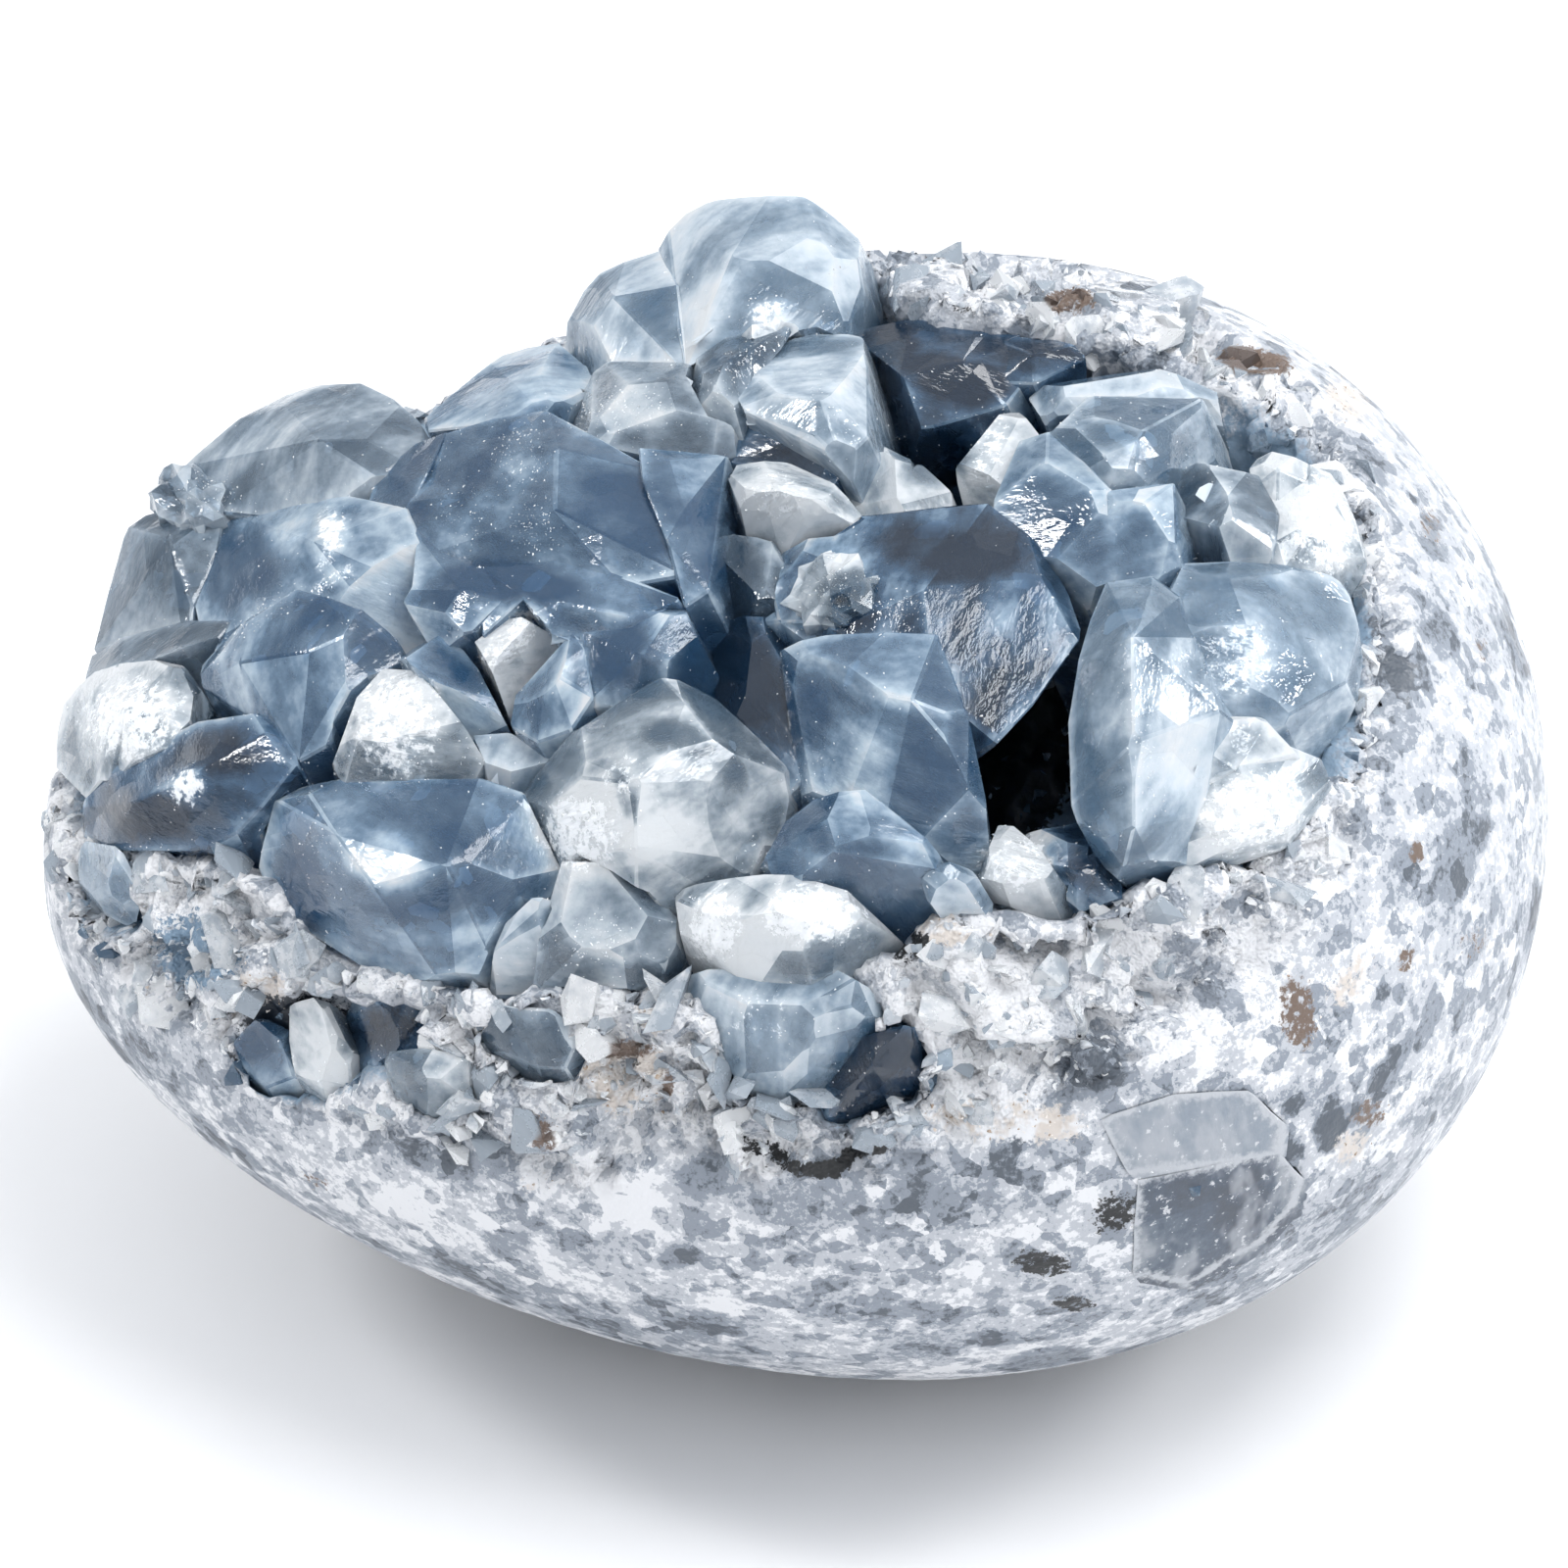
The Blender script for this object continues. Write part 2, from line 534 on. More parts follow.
def with_flat_breaks(add, place, height, slope):
    """The height with flat breaks on it, each of which leans its own way."""
    middle = add("TexVoronoi", {"Vector": place, "Scale": 1 / FLAT_BREAKS}, out="Position")
    way = add("VectorMath", {0: place, 1: middle}, operation="SUBTRACT")
    lean = add("VectorMath", {0: middle.node.outputs["Color"], 1: (0.5,) * 3}, operation="SUBTRACT")
    rise = add("VectorMath", {0: way, 1: lean}, out="Value", operation="DOT_PRODUCT")
    return add("Math", {0: rise, 1: slope, 2: height}, operation="MULTIPLY_ADD")


def celestite(slot, ground):
    """Celestite: glassy crystal, clear in places and milky in others, paler where it is thin. Where it was
    ground flat it is dull and grey, with pale flecks."""
    tone = TONES[slot]
    material, add = new_material(slot + ("_ground" if ground else "_crystal"))
    place = add("TexCoord", out="Object")
    fibre = add("Attribute", out="Vector", attribute_name="fibre")
    frost, ridge, lines, facet, paleness = [
        add("Attribute", out="Fac", attribute_name=name)
        for name in ("frost", "ridge", "lines", "facet", "paleness")]

    # Streaks of tiny bubbles, each face's own depth, and the thin edges set how pale a place is
    cloud = add("TexNoise", {"Vector": fibre, "Scale": 1 / BUBBLE_STREAKS, "Detail": 3.0, "Roughness": 0.6})
    fine = add("TexNoise", {"Vector": place, "Scale": 1 / CRYSTAL_GRAIN, "Detail": 3.0, "Roughness": 0.7})
    share = add("Math", {0: facet, 1: 0.16, 2: paleness}, operation="MULTIPLY_ADD")
    share = add("Math", {0: share, 1: cloud}, operation="ADD")
    share = shaken_by(add, share, fine, 0.7 if ground else 0.22)
    shade = add("ValToRGB", {0: share})
    set_stops(shade.node.color_ramp, (
        (0.18, opaque(tone.deep)), (0.5, opaque(tone.middle)), (0.72, opaque(tone.pale)),
        (0.92, opaque("#f2f6f9"))))
    frosted = ragged(add, frost, fine, 2.6, 0.5, 1.05, (0.05, 0.4))
    shade = add("Mix", {0: frosted, 6: shade, 7: opaque("#f3f6f9")}, out=2, data_type="RGBA")

    # Fine striations along the streaks, rougher under frost, and the stepped lines of some faces
    grain = add("TexNoise", {"Vector": fibre, "Scale": 1 / STRIATIONS, "Detail": 3.0, "Roughness": 0.65})
    depth = add("Math", {0: frost, 1: 0.35 * MM, 2: 0.13 * MM}, operation="MULTIPLY_ADD")
    height = add("Math", {0: grain, 1: depth}, operation="MULTIPLY")
    steps = add("TexWave", {"Vector": place, "Scale": 1 / STEPPED_LINES}, out="Fac",
                bands_direction="DIAGONAL", wave_profile="SAW")
    depth = add("Math", {0: lines, 1: 0.16 * MM}, operation="MULTIPLY")
    height = add("Math", {0: steps, 1: depth, 2: height}, operation="MULTIPLY_ADD")

    if ground:
        clear, smooth, dull = 0.15, 0.42, 0.55
        grey = opaque("#4c515a" if slot == "celestite_dark" else "#868b94")
        shade = add("Mix", {0: 0.8, 6: shade, 7: grey}, out=2, data_type="RGBA")
        shade = covered(add, shade, cloud, 0.5, 0.68, opaque("#b9bdc4"), 0.6)
        shade = covered(add, shade, fine, 0.6, 0.68, opaque("#e8eaed"), 0.8)
        shade = covered(add, shade, shaken_by(add, ridge, fine, 1.8), 0.2, 0.8, opaque("#bfc3c9"))
    else:
        smooth, dull = 0.06, 0.22
        height = with_flat_breaks(add, place, height, 0.2)
        glassy = add("MapRange", {0: share, 1: 0.30, 2: 0.78, 3: tone.clear_high, 4: tone.clear_low},
                     interpolation_type="SMOOTHSTEP")
        bare = add("Math", {0: frosted, 1: -0.85, 2: 1.0}, operation="MULTIPLY_ADD")
        clear = add("Math", {0: glassy, 1: bare}, operation="MULTIPLY")
    rough = add("MapRange", {0: cloud, 1: 0.35, 2: 0.65, 3: smooth, 4: dull}, interpolation_type="SMOOTHSTEP")
    rough = add("Math", {0: frosted, 1: 0.3, 2: rough}, operation="MULTIPLY_ADD")
    bump = add("Bump", {"Height": height, "Strength": 1.0, "Distance": 1.0})
    shader = add("BsdfPrincipled", {
        "Base Color": shade, "Roughness": rough, "IOR": CELESTITE_IOR, "Transmission Weight": clear,
        "Normal": bump})
    body = add("VolumeAbsorption", {"Color": opaque(tone.body), "Density": tone.density})
    add("OutputMaterial", {"Surface": shader, "Volume": body})
    return material


def geode_rock(settings):
    """Geode rock, ground smooth outside: cut grains of celestite and quartz in a milky groundmass, which the
    eye sees as sharp grey specks of all sizes on white."""
    material, add = new_material("geode_rock_ground_and_broken")
    place = add("TexCoord", out="Object")
    speckle = add("TexNoise", {"Vector": place, "Scale": 1 / ROCK_SPECKLES, "Detail": 3.0, "Roughness": 0.75})
    streak = add("TexNoise", {"Vector": place, "Scale": 1 / ROCK_STREAKS, "Detail": 3.0, "Roughness": 0.7})

    # The larger grain tones are painted on; noise breaks them up into pores, veins and glassy points
    tone = add("Attribute", out="Fac", attribute_name="tone")
    tone = shaken_by(add, tone, streak, 0.55)
    tone = shaken_by(add, tone, speckle, 1.0)

    # Small grains with uneven borders, some dark and a few white
    way = add("TexNoise", {"Vector": place, "Scale": 1 / ROCK_PORES, "Detail": 1.0, "Roughness": 0.55},
              out="Color")
    way = add("VectorMath", {0: way, 1: (0.5,) * 3}, operation="SUBTRACT")
    uneven = add("VectorMath", {0: way, 1: (0.9 * MM,) * 3, 2: place}, operation="MULTIPLY_ADD")
    luck = add("TexVoronoi", {"Vector": uneven, "Scale": 1 / SMALL_GRAINS}, out="Color")
    luck = add("SeparateColor", {0: luck}).node.outputs
    for share, low, high, least, most in (("Red", 0.26, 0.32, -0.24, 0.02), ("Green", 0.86, 0.92, 0.0, 0.18)):
        grain = add("MapRange", {0: luck[share], 1: low, 2: high, 3: least, 4: most},
                    interpolation_type="SMOOTHSTEP")
        tone = add("Math", {0: tone, 1: grain}, operation="ADD")
    shade = add("ValToRGB", {0: tone})
    set_stops(shade.node.color_ramp, [(position, (*level, 1.0)) for position, level in (
        (0.08, settings.dark), (0.26, settings.grey), (0.42, settings.grey), (0.50, settings.pale),
        (0.64, settings.pale), (0.74, settings.white))])

    # The marks lie over the grains, and the sand is mixed with the white groundmass
    sandy = covered(add, (*settings.sand, 1), streak, 0.45, 0.6, (*settings.white, 1))
    for kind, look, low, high in (
            ("blue", opaque("#6f879d"), 0.40, 0.65), ("sand", sandy, 0.35, 0.80),
            ("brown", (*settings.brown, 1), 0.50, 0.80), ("black", opaque("#15181b"), 0.50, 0.72),
            ("hollow", opaque("#8197ab"), 0.30, 0.90), ("deep", opaque("#101a26"), 0.40, 0.70)):
        mask = add("Attribute", out="Fac", attribute_name=kind)
        share = ragged(add, mask, speckle, 2.0, low, high, (0.0, 0.2))
        shade = add("Mix", {0: share, 6: shade, 7: look}, out=2, data_type="RGBA")

    rough = add("MapRange", {0: streak, 1: 0.3, 2: 0.7, 3: 0.32, 4: 0.6}, interpolation_type="SMOOTHSTEP")
    relief = add("TexNoise", {"Vector": place, "Scale": 1 / ROCK_PORES, "Detail": 2.0, "Roughness": 0.7})
    broken = add("Attribute", out="Fac", attribute_name="broken")
    depth = add("Math", {0: broken, 1: 0.5 * MM, 2: 0.14 * MM}, operation="MULTIPLY_ADD")
    height = add("Math", {0: relief, 1: depth}, operation="MULTIPLY")
    bump = add("Bump", {"Height": height, "Strength": 1.0, "Distance": 1.0})
    shader = add("BsdfPrincipled", {
        "Base Color": shade, "Roughness": rough, "IOR": QUARTZ_IOR, "Normal": bump})
    add("OutputMaterial", {"Surface": shader})
    return material


def druse(name, deep, pale, clear, stain=0.0):
    """Druse: small crystals and broken pieces of quartz and celestite, glassy with milky spots, and brown
    where iron stained them."""
    material, add = new_material(name)
    place = add("TexCoord", out="Object")
    tint = add("Attribute", out="Fac", attribute_name="tint")
    brown = add("Attribute", out="Fac", attribute_name="brown")
    cloud = add("TexNoise", {"Vector": place, "Scale": 1 / DRUSE_CLOUDS, "Detail": 4.0, "Roughness": 0.65})
    shade = covered(add, opaque(deep), shaken_by(add, cloud, tint, 0.7), 0.3, 0.7, opaque(pale))
    if stain:
        shade = covered(add, shade, cloud, 0.55, 0.68, opaque("#6d574b"), stain)
    shade = covered(add, shade, shaken_by(add, brown, cloud, 1.0), 0.45, 0.7, opaque("#6a564a"), 0.9)
    rough = add("MapRange", {0: cloud, 1: 0.3, 2: 0.7, 3: 0.15, 4: 0.4}, interpolation_type="SMOOTHSTEP")
    shader = add("BsdfPrincipled", {
        "Base Color": shade, "Roughness": rough, "IOR": QUARTZ_IOR, "Transmission Weight": clear})
    add("OutputMaterial", {"Surface": shader})
    return material


def sealed_crack():
    """A healed crack inside a crystal: a thin pale mirror that catches the light."""
    material, add = new_material("sealed_crack")
    place = add("TexCoord", out="Object")
    cloud = add("TexNoise", {"Vector": place, "Scale": 1 / CRACK_CLOUDS, "Detail": 4.0, "Roughness": 0.55})
    shade = add("Mix", {0: cloud, 6: opaque("#9fb3c4"), 7: opaque("#f4f7fa")}, out=2, data_type="RGBA")
    shader = add("BsdfPrincipled", {"Base Color": shade, "Roughness": 0.22, "IOR": 1.3})
    add("OutputMaterial", {"Surface": shader})
    return material


def declare(obj, slot, *nodes):
    """Makes a piece part of the stone, with the record's slot and the CAD nodes that it stands for."""
    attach(obj, "root")
    if nodes:
        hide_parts(*nodes)


class GEODE_OT_rock(bpy.types.Operator):
    """Builds the egg of rock: ground outside, broken around the mouth, dark in the hollows"""
    bl_idname = "geode.rock"
    bl_label = "Build the rock"

    def execute(self, context):
        settings = context.scene.geode_rock
        mesh = even_skin("matrix_shell", settings.face_size, 2)
        points = coordinates(mesh)
        out = normals(mesh)
        level = egg_level(points)
        height = opening_height(points)
        uneven = soft_noise(points, 9 * MM, 3)
        outside = smooth_step(GROUND_FROM, GROUND_TO, level)
        floor = smooth_step(0.9 * MM, 0.2 * MM, points[:, 2])
        broken = smooth_step(BAND_FROM, BAND_TO, height + 1.8 * uneven) * outside
        hollow = (1 - outside) * smooth_step(HOLLOW_FROM, HOLLOW_TO, height + 2.0 * uneven)

        # The ground outside follows the egg exactly but for shallow pits, of which some cells have one
        centre = (STONE_MIDDLE + EGG_CENTRE) * MM
        on_egg = centre + (points - centre) / level[:, None]
        ground = outside * (1 - floor)
        points = points + (on_egg - points) * ground[:, None]
        pit_spacing, pit_radius, cells_without = 3.2 * MM, 1.1 * MM, 0.7
        _, near, _, luck = shaken_cells(points, pit_spacing, 11)
        pits = np.maximum(0, 1 - near / pit_radius) * (luck[:, 0] > cells_without)
        shallow = soft_noise(points, 1.6 * MM, 21, 2) * 0.35 - pits
        push = shallow * settings.ground_pits * (1 - broken) * (1 - floor)

        # The band around the mouth is broken into facets, and its lip is knocked down in places. The facets'
        # shares are worked out for the usual depth
        usual_depth = 1.3 * MM
        large = facets(points, 7.5 * MM, 31)
        small = facets(points, 2.6 * MM, 41)
        lip = smooth_step(LIP_FROM, LIP_TO, height) * np.maximum(0, uneven + 0.2)
        chips = np.minimum(0.6 * MM, large * 0.5 + small * 0.7 - 0.5 * MM)
        push += broken * (chips * settings.chip_depth / usual_depth - lip * 0.6 * MM)
        push += (1 - outside) * (large * 0.25 + small * 0.35 + 0.35 * MM)
        points += out * push[:, None]
        points[:, 2] = np.maximum(points[:, 2], 0)
        move_vertices(mesh, points)

        places = seen(points)
        front = (normals(mesh) @ LOOK_AXES[2] > 0) * 1.0
        marks = {kind: mark_strength(ROCK_MARKS[kind], places) * front for kind in (
            "white", "grey", "dark", "sand", "brown", "blue")}
        tone = self.grain_tones(points, marks, broken)
        paint(mesh, "tone", tone)
        for kind in ("sand", "brown", "blue"):
            paint(mesh, kind, marks[kind])
        from_crack = distance_to_lines(places[:, :2], zip(CRACK, CRACK[1:]))
        crack = 1 - smooth_step(CRACK_HALF_WIDTH, 3 * CRACK_HALF_WIDTH, from_crack)
        paint(mesh, "black", np.maximum(mark_strength(ROCK_MARKS["black"], places), crack) * front)
        paint(mesh, "broken", broken)
        paint(mesh, "hollow", hollow)
        paint(mesh, "deep", mark_strength(ROCK_MARKS["deep"], places) * np.maximum(hollow, 1 - outside))
        rock = show(mesh, "rock")
        mesh.materials.append(geode_rock(settings))
        declare(rock, "geode_rock", "matrix_shell")
        return {"FINISHED"}

    def grain_tones(self, points, marks, broken):
        """From 0, the darkest grains, to 1, the white groundmass. Of each size of cell a share are grains
        that stand out, and pale veins run along the borders of half of them."""
        tone = 0.56 + 0.08 * soft_noise(points, 12 * MM, 61, 4)
        sway = np.stack([soft_noise(points, 3 * MM, salt, 2) for salt in (71, 72, 73)], 1)
        shaken = points + 0.6 * MM * sway
        for size, salt, share, depth in ((2.2 * MM, 81, 0.42, 0.7), (4.6 * MM, 82, 0.34, 0.85),
                                         (8.5 * MM, 83, 0.20, 0.9)):
            _, near, second, luck = shaken_cells(shaken, size, salt)
            border = (second - near) / 2
            chance = share * (1 - 0.6 * marks["white"])
            inside = (luck[:, 0] < chance) * smooth_step(0.05 * MM, 0.45 * MM, border)
            grain = 0.15 + 0.55 * luck[:, 1]
            tone += inside * depth * (grain - tone)
            veins = (luck[:, 2] > 0.5) * (1 - smooth_step(0.08 * MM, 0.35 * MM, border))
            tone += veins * 0.35 * (0.95 - tone)
        tone += 0.25 * marks["white"] - 0.30 * marks["grey"] - 0.45 * marks["dark"] + 0.10 * broken
        return tone


class GEODE_OT_crystals(bpy.types.Operator):
    """Builds each crystal over its CAD node, with worn edges and broken corners"""
    bl_idname = "geode.crystals"
    bl_label = "Build the crystals"

    def execute(self, context):
        settings = context.scene.geode_crystals
        looks = {}
        for number, row in enumerate(frame["record"]["subparts"]):
            node, slot = row["node"], row["material_slot"]
            if slot not in TONES:
                continue
            ground = node.startswith("section")
            if (slot, ground) not in looks:
                looks[slot, ground] = celestite(slot, ground)
            mesh = self.crystal_mesh(node, ground, number, settings)
            mesh.materials.append(looks[slot, ground])
            declare(show(mesh, node + "_look"), slot, node)
        return {"FINISHED"}

    def crystal_mesh(self, node, ground, number, settings):
        """A crystal's mesh, with everything that its material reads painted on."""
        luck = random.Random(number)
        bm = bmesh.new()
        bm.from_mesh(frame["nodes"][node].data)
        bmesh.ops.remove_doubles(bm, verts=bm.verts, dist=0.002 * MM)
        bmesh.ops.dissolve_limit(bm, angle_limit=math.radians(1), verts=bm.verts, edges=bm.edges)
        bm.normal_update()
        for v, step in [(v, v.normal * settings.growth * min(1.6, v.calc_shell_factor())) for v in bm.verts]:
            v.co += step
        if not ground and not node.startswith("knob"):
            bm = wear_edges(bm, settings.worn)
            deepest = min(1.2 * MM, 0.045 * longest_side(bm))
            for _ in range(settings.chips):
                bm = chipped(bm, deepest, luck)
        tone_faces(bm, luck)
        creases = [(e.verts[0].co.copy(), e.verts[1].co.copy()) for e in bm.edges
                   if e.is_convex and fold(e) > 2.5 * CREASE and e.calc_length() > 0.8 * MM]
        split_long_edges(bm, settings.face_size)
        soft = [v for v in bm.verts if all(fold(e) < CREASE for e in v.link_edges)]
        for _ in range(2):
            bmesh.ops.smooth_vert(
                bm, verts=soft, factor=0.5, use_axis_x=True, use_axis_y=True, use_axis_z=True)
        mesh = bpy.data.meshes.new(node)
        bm.to_mesh(mesh)
        bm.free()
        points = coordinates(mesh)
        out = normals(mesh)
        push = soft_noise(points, 6 * MM, 130 + number, 2) * 0.06 * MM
        if node.startswith("knob"):
            push += facets(points, 1.8 * MM, 170) * 0.6
        points += out * push[:, None]
        points[:, 2] = np.maximum(points[:, 2], 0)
        if ground:
            level = egg_level(points)[:, None]
            centre = (STONE_MIDDLE + EGG_CENTRE) * MM
            points = np.where(level > 0.975, centre + (points - centre) * GROUND_LEVEL / level, points)
        move_vertices(mesh, points)
        mesh.shade_smooth()
        mesh.set_sharp_from_angle(angle=math.radians(8))
        places = seen(points)
        marks = {kind: mark_strength(rows, places) for kind, rows in CRYSTAL_MARKS.items()}
        for kind in ("frost", "glint", "lines"):
            paint(mesh, kind, marks[kind])
        ridge = np.exp(-distance_to_lines(points, creases) / RIDGE_WIDTH)
        broad = soft_noise(points, 9 * MM, 200 + number, 2)
        paleness = 0.20 * ridge - 0.05 + luck.uniform(-0.05, 0.05) + 0.14 * broad
        paleness += 0.3 * marks["pale"] + 0.3 * marks["frost"] - 0.32 * marks["deep"]
        paint(mesh, "paleness", paleness)
        paint(mesh, "ridge", ridge)
        paint_fibre(mesh, points, luck)
        return mesh


def fold(edge):
    """The angle between an edge's two faces."""
    return edge.calc_face_angle(0) if edge.is_manifold else 0


def longest_side(bm):
    return max((v.co - w.co).length for v in bm.verts for w in bm.verts)


def tone_faces(bm, luck):
    """Gives each face of the crystal its own tone. Faces that meet at a shallow fold are one face."""
    layer = bm.faces.layers.float.new("facet")
    left = set(bm.faces)
    for first in bm.faces:
        if first not in left:
            continue
        left.discard(first)
        tone = luck.uniform(-1, 1)
        queue = [first]
        while queue:
            face = queue.pop()
            face[layer] = tone
            near = {f for e in face.edges if fold(e) < CREASE for f in e.link_faces} & left
            left -= near
            queue.extend(near)


def wear_edges(bm, width):
    """Takes the long outer edges off by a small flat, where that leaves the shape sound."""
    long_enough = 6 * width
    size = longest_side(bm)
    middle = sum((v.co for v in bm.verts), Vector()) / len(bm.verts)
    for clamp in (False, True):
        trial = bm.copy()
        worn = [e for e in trial.edges
                if e.is_convex and fold(e) > 2 * CREASE and e.calc_length() > long_enough]
        bmesh.ops.bevel(trial, geom=worn, offset=width, segments=1, affect="EDGES", clamp_overlap=clamp)
        trial.normal_update()
        if all((v.co - middle).length < size for v in trial.verts):
            bm.free()
            return trial
        trial.free()
    return bm


def chipped(bm, deepest, luck):
    """The crystal with one corner broken off flat, or as it was where the break would run too far."""
    bm.verts.ensure_lookup_table()
    corner = bm.verts[luck.randrange(len(bm.verts))]
    tilt = Vector([luck.gauss(0, 1) for _ in range(3)]) * 0.3
    facing = (corner.normal + tilt).normalized()
    depth = luck.uniform(0.15, 1.0) * deepest
    level = corner.co - facing * depth
    reach = 7 * depth + 1.0 * MM
    gone = [v for v in bm.verts if (v.co - level).dot(facing) > 0]
    too_far = any((v.co - corner.co).length > reach for v in gone)
    if not gone or too_far or len(gone) > len(bm.verts) // 3:
        return bm
    trial = bm.copy()
    cut = bmesh.ops.bisect_plane(
        trial, geom=trial.verts[:] + trial.edges[:] + trial.faces[:], dist=0.001 * MM, plane_co=level,
        plane_no=facing, clear_outer=True)
    rim = [g for g in cut["geom_cut"] if isinstance(g, bmesh.types.BMEdge)]
    bmesh.ops.contextual_create(trial, geom=rim)
    trial.normal_update()
    if all(e.is_manifold for e in trial.edges):
        bm.free()
        return trial
    trial.free()
    return bm


def split_long_edges(bm, longest):
    """Covers the flat faces with small triangles."""
    bmesh.ops.triangulate(bm, faces=bm.faces)
    for _ in range(8):
        long_edges = [e for e in bm.edges if e.calc_length() > longest]
        if not long_edges:
            return
        bmesh.ops.subdivide_edges(bm, edges=long_edges, cuts=1)
        bmesh.ops.triangulate(bm, faces=[f for f in bm.faces if len(f.verts) > 3])


def shard_shapes(count, corners, luck):
    """A few small broken solids as corners and triangles."""
    shapes = []
    for _ in range(count):
        bm = bmesh.new()
        for _ in range(corners):
            corner = Vector([luck.gauss(0, 1) for _ in range(3)]).normalized() * luck.uniform(0.7, 1.0)
            bm.verts.new(corner)
        hull = bmesh.ops.convex_hull(bm, input=bm.verts)
        inner = [g for g in hull["geom_interior"] if isinstance(g, bmesh.types.BMVert)]
        bmesh.ops.delete(bm, geom=inner, context="VERTS")
        bmesh.ops.recalc_face_normals(bm, faces=bm.faces)
        bm.verts.index_update()
        triangles = [[v.index for v in f.verts] for f in bm.faces]
        shapes.append((np.array([v.co[:] for v in bm.verts]), np.array(triangles)))
        bm.free()
    return shapes


def spots_on(mesh, weights, count, luck):
    """Random places on a mesh, more where the weight is larger, and the outward directions there."""
    mesh.calc_loop_triangles()
    corners = np.zeros(len(mesh.loop_triangles) * 3, np.int32)
    mesh.loop_triangles.foreach_get("vertices", corners)
    corners = corners.reshape(-1, 3)
    a, b, c = (coordinates(mesh)[corners[:, k]] for k in range(3))
    across = np.cross(b - a, c - a)
    area = np.linalg.norm(across, axis=1)
    chance = area * weights[corners].mean(1)
    if not chance.sum() > 0:
        raise RuntimeError("no place was found on " + mesh.name)
    pick = luck.choice(len(corners), count, p=chance / chance.sum())
    u, v = luck.random(count), luck.random(count)
    u, v = np.where(u + v > 1, 1 - u, u), np.where(u + v > 1, 1 - v, v)
    places = a[pick] + u[:, None] * (b - a)[pick] + v[:, None] * (c - a)[pick]
    return places, across[pick] / np.maximum(area[pick], 1e-12)[:, None]


def unit(rows):
    """Each row as a direction of length one."""
    return rows / np.maximum(np.linalg.norm(rows, axis=1), 1e-12)[:, None]


def half_sizes(size, long, wide, rise, luck):
    """Each piece's half lengths along two sides and outward, as shares of its size."""
    count = len(size)
    shares = luck.uniform(*long, count), luck.uniform(*wide, count), np.full(count, rise)
    return size[:, None] * np.stack(shares, 1)


def strewn(name, shapes, places, outs, sizes, lean, luck):
    """One mesh of many small pieces, which stand outward and lean at random."""
    count = len(places)
    up = unit(outs + lean * luck.normal(size=(count, 3)))
    side = unit(np.cross(up, luck.normal(size=(count, 3))))
    axes = np.stack((side, np.cross(up, side), up), 1)
    kinds = luck.integers(0, len(shapes), count)
    corners, faces, tints, start = [], [], [], 0
    for kind, (shape, triangles) in enumerate(shapes):
        mine = np.flatnonzero(kinds == kind)
        local = shape[None] * sizes[mine][:, None, :]
        corners.append((places[mine][:, None, :] + local @ axes[mine]).reshape(-1, 3))
        offsets = start + np.arange(len(mine)) * len(shape)
        faces.append((triangles[None] + offsets[:, None, None]).reshape(-1, 3))
        tints.append(np.repeat(luck.random(len(mine)), len(shape)))
        start += len(mine) * len(shape)
    mesh = bpy.data.meshes.new(name)
    mesh.from_pydata(np.concatenate(corners).tolist(), [], np.concatenate(faces).tolist())
    paint(mesh, "tint", np.concatenate(tints))
    return mesh


def strew(name, shapes, spots, sizes, lean, luck, material, slot):
    """Puts many small pieces on their spots as one object of the stone."""
    mesh = strewn(name, shapes, *spots, sizes, lean, luck)
    paint(mesh, "brown", mark_strength(ROCK_MARKS["brown"], seen(coordinates(mesh))))
    mesh.materials.append(material)
    obj = show(mesh, name)
    mesh.shade_flat()
    declare(obj, slot)


def column(mesh, name):
    """The numbers painted on a mesh under this name."""
    values = np.zeros(len(mesh.vertices), np.float32)
    mesh.attributes[name].data.foreach_get("value", values)
    return values.astype(float)


class GEODE_OT_druse(bpy.types.Operator):
    """Sets small crystals and broken pieces into the band around the mouth and onto the hollows' walls"""
    bl_idname = "geode.druse"
    bl_label = "Build the druse"

    def execute(self, context):
        settings = context.scene.geode_druse
        rock = bpy.data.objects["rock"].data
        broken, hollow = column(rock, "broken"), column(rock, "hollow")
        stained = column(rock, "sand") + column(rock, "brown")
        height = opening_height(coordinates(rock))
        band = (broken > 0.7) * (height > 19)
        in_hollow = (hollow > 0.25) * (height > 4.0)
        luck = np.random.default_rng(5)
        shapes = shard_shapes(14, 11, random.Random(3))
        # Each group's name, where it lies, how many, least and most size in mm, how far it rises and its look
        groups = (
            ("rim_blocks", band, settings.rim_blocks, (1.4, 4.2), 0.42,
             druse("druse_pale", "#a9b4bf", "#f1f3f5", 0.3)),
            ("rim_grains", band, settings.rim_grains, (0.3, 1.1), 0.42,
             druse("druse_white", "#b4bbc3", "#f3f4f5", 0.15, 0.15)),
            ("hollow_druse", in_hollow, settings.hollow_grains, (0.6, 2.2), 0.9,
             druse("druse_dark", "#4b647c", "#b4c6d6", 0.4)),
            ("sandy_crumbs", (stained > 0.3) * stained, settings.crumbs, (0.12, 0.40), 0.7,
             druse("druse_sandy", "#a3917f", "#ebe5df", 0.0, 0.6)),
        )
        for name, weights, count, (least, most), rise, material in groups:
            spots = spots_on(rock, weights * 1.0, count, luck)
            size = (least + (most - least) * luck.random(count) ** 2.2) * MM
            sizes = half_sizes(size, (0.6, 1.1), (0.6, 1.1), rise, luck)
            # A little more than half of each piece is sunk in the rock
            sunk = (spots[0] - spots[1] * (sizes[:, 2:] * 0.55), spots[1])
            strew(name, shapes, sunk, sizes, 0.35, luck, material, "geode_rock")
        return {"FINISHED"}


